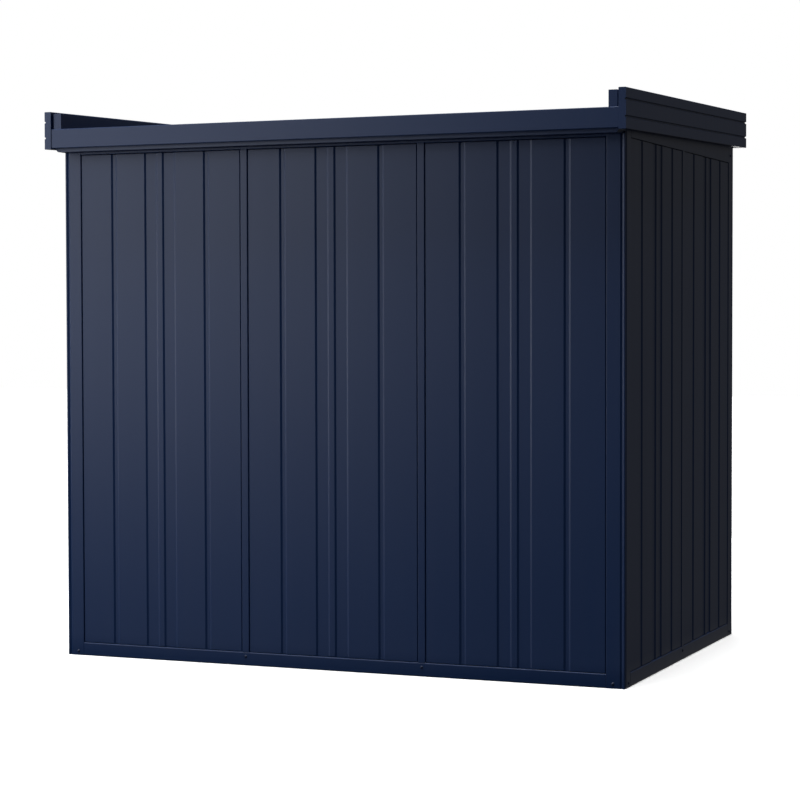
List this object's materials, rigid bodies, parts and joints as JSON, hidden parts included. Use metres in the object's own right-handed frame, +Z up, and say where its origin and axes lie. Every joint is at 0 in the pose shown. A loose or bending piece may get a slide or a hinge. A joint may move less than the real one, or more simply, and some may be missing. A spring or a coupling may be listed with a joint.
{
  "type": "metal storage shed",
  "caption": "Free-standing ribbed steel storage shed with a low pent roof behind a boarded parapet, a rear gutter and hinged double doors.",
  "frame": {"origin": "on the ground, under the middle of the roof's outline", "axes": "+X along the rear wall, to the right of a person who faces the doors; +Y from the doors to the rear wall; +Z up"},
  "size_m": [2.384, 1.76, 2.214],
  "materials": {
    "panel_paint": "satin powder coat, dark blue",
    "frame_paint": "satin powder coat, dark blue",
    "trim_paint": "satin powder coat, dark blue",
    "roof_paint": "satin coil coating",
    "hinge_paint": "satin powder coat",
    "bolt_paint": "satin",
    "satin_steel": "brushed",
    "zinc_steel": "zinc plated",
    "black_plastic": "matt moulded",
    "seal_rubber": "matt"
  },
  "bodies": {
    "shed": {"base_rail_left": "frame_paint", "base_rail_rear": "frame_paint", "base_rail_right": "frame_paint", "corner_post_front_left": "frame_paint", "corner_post_front_right": "frame_paint", "corner_post_rear_left": "frame_paint", "corner_post_rear_right": "frame_paint", "domed_bolts": "bolt_paint", "door_jamb_left": "frame_paint", "door_jamb_right": "frame_paint", "door_seals": "seal_rubber", "frame_hinge_halves": "hinge_paint", "front_header": "frame_paint", "front_panel_left": "panel_paint", "front_panel_right": "panel_paint", "gable_rail_left": "frame_paint", "gable_rail_right": "frame_paint", "gutter_band": "trim_paint", "gutter_trough": "frame_paint", "left_panel_front": "panel_paint", "left_panel_rear": "panel_paint", "parapet_board_front": "trim_paint", "parapet_board_left": "trim_paint", "parapet_board_right": "trim_paint", "parapet_end_caps": "trim_paint", "parapet_liner_front": "trim_paint", "parapet_liner_left": "trim_paint", "parapet_liner_right": "trim_paint", "rear_panel_left": "panel_paint", "rear_panel_middle": "panel_paint", "rear_panel_right": "panel_paint", "rear_top_rail": "frame_paint", "right_panel_front": "panel_paint", "right_panel_rear": "panel_paint", "roof_beams": "frame_paint", "roof_sheet_left": "roof_paint", "roof_sheet_middle": "roof_paint", "roof_sheet_right": "roof_paint", "seam_post_left": "frame_paint", "seam_post_rear_left": "frame_paint", "seam_post_rear_right": "frame_paint", "seam_post_right": "frame_paint", "threshold_rail": "frame_paint"},
    "active_door": {"active_leaf_skin": "panel_paint", "active_leaf_frame": "frame_paint", "active_hinge_halves": "hinge_paint", "active_rod_guides": "black_plastic", "lock_case": "black_plastic", "escutcheon": "satin_steel", "meeting_seal": "seal_rubber"},
    "passive_door": {"passive_leaf_skin": "panel_paint", "passive_leaf_frame": "frame_paint", "passive_hinge_halves": "hinge_paint", "passive_bolt_guides": "black_plastic"},
    "handle": {"door_handle": "satin_steel"},
    "rod_upper": {"locking_rod_upper": "zinc_steel"},
    "rod_lower": {"locking_rod_lower": "zinc_steel"},
    "lock_plug": {"lock_plug": "satin_steel"},
    "bolt_upper": {"shoot_bolt_upper": "zinc_steel"},
    "bolt_lower": {"shoot_bolt_lower": "zinc_steel"}
  },
  "joints": [
    {"name": "active_door_swing", "type": "hinge", "parent": "shed", "child": "active_door", "pos_m": [0.7485, -0.789, 1], "axis": [0, 0, 1], "range_deg": [0, 120]},
    {"name": "passive_door_swing", "type": "hinge", "parent": "shed", "child": "passive_door", "pos_m": [-0.7485, -0.789, 1], "axis": [0, 0, -1], "range_deg": [0, 120]},
    {"name": "handle_lift", "type": "hinge", "parent": "active_door", "child": "handle", "pos_m": [0.0605, -0.78, 1], "axis": [0, -1, 0], "range_deg": [0, 45]},
    {"name": "rod_upper_slide", "type": "slide", "parent": "active_door", "child": "rod_upper", "axis": [0, 0, 1], "range_m": [0, 0.0301]},
    {"name": "rod_lower_slide", "type": "slide", "parent": "active_door", "child": "rod_lower", "axis": [0, 0, -1], "range_m": [0, 0.0301]},
    {"name": "lock_plug_turn", "type": "hinge", "parent": "active_door", "child": "lock_plug", "pos_m": [0.0605, -0.78, 0.928], "axis": [0, 1, 0], "range_deg": [0, 90]},
    {"name": "bolt_upper_slide", "type": "slide", "parent": "passive_door", "child": "bolt_upper", "axis": [0, 0, 1], "range_m": [0, 0.03]},
    {"name": "bolt_lower_slide", "type": "slide", "parent": "passive_door", "child": "bolt_lower", "axis": [0, 0, -1], "range_m": [0, 0.03]}
  ],
  "couplings": [
    {"joint": "rod_upper_slide", "follows": "handle_lift", "m_per_rad": 0.038197},
    {"joint": "rod_lower_slide", "follows": "handle_lift", "m_per_rad": 0.038197}
  ]
}
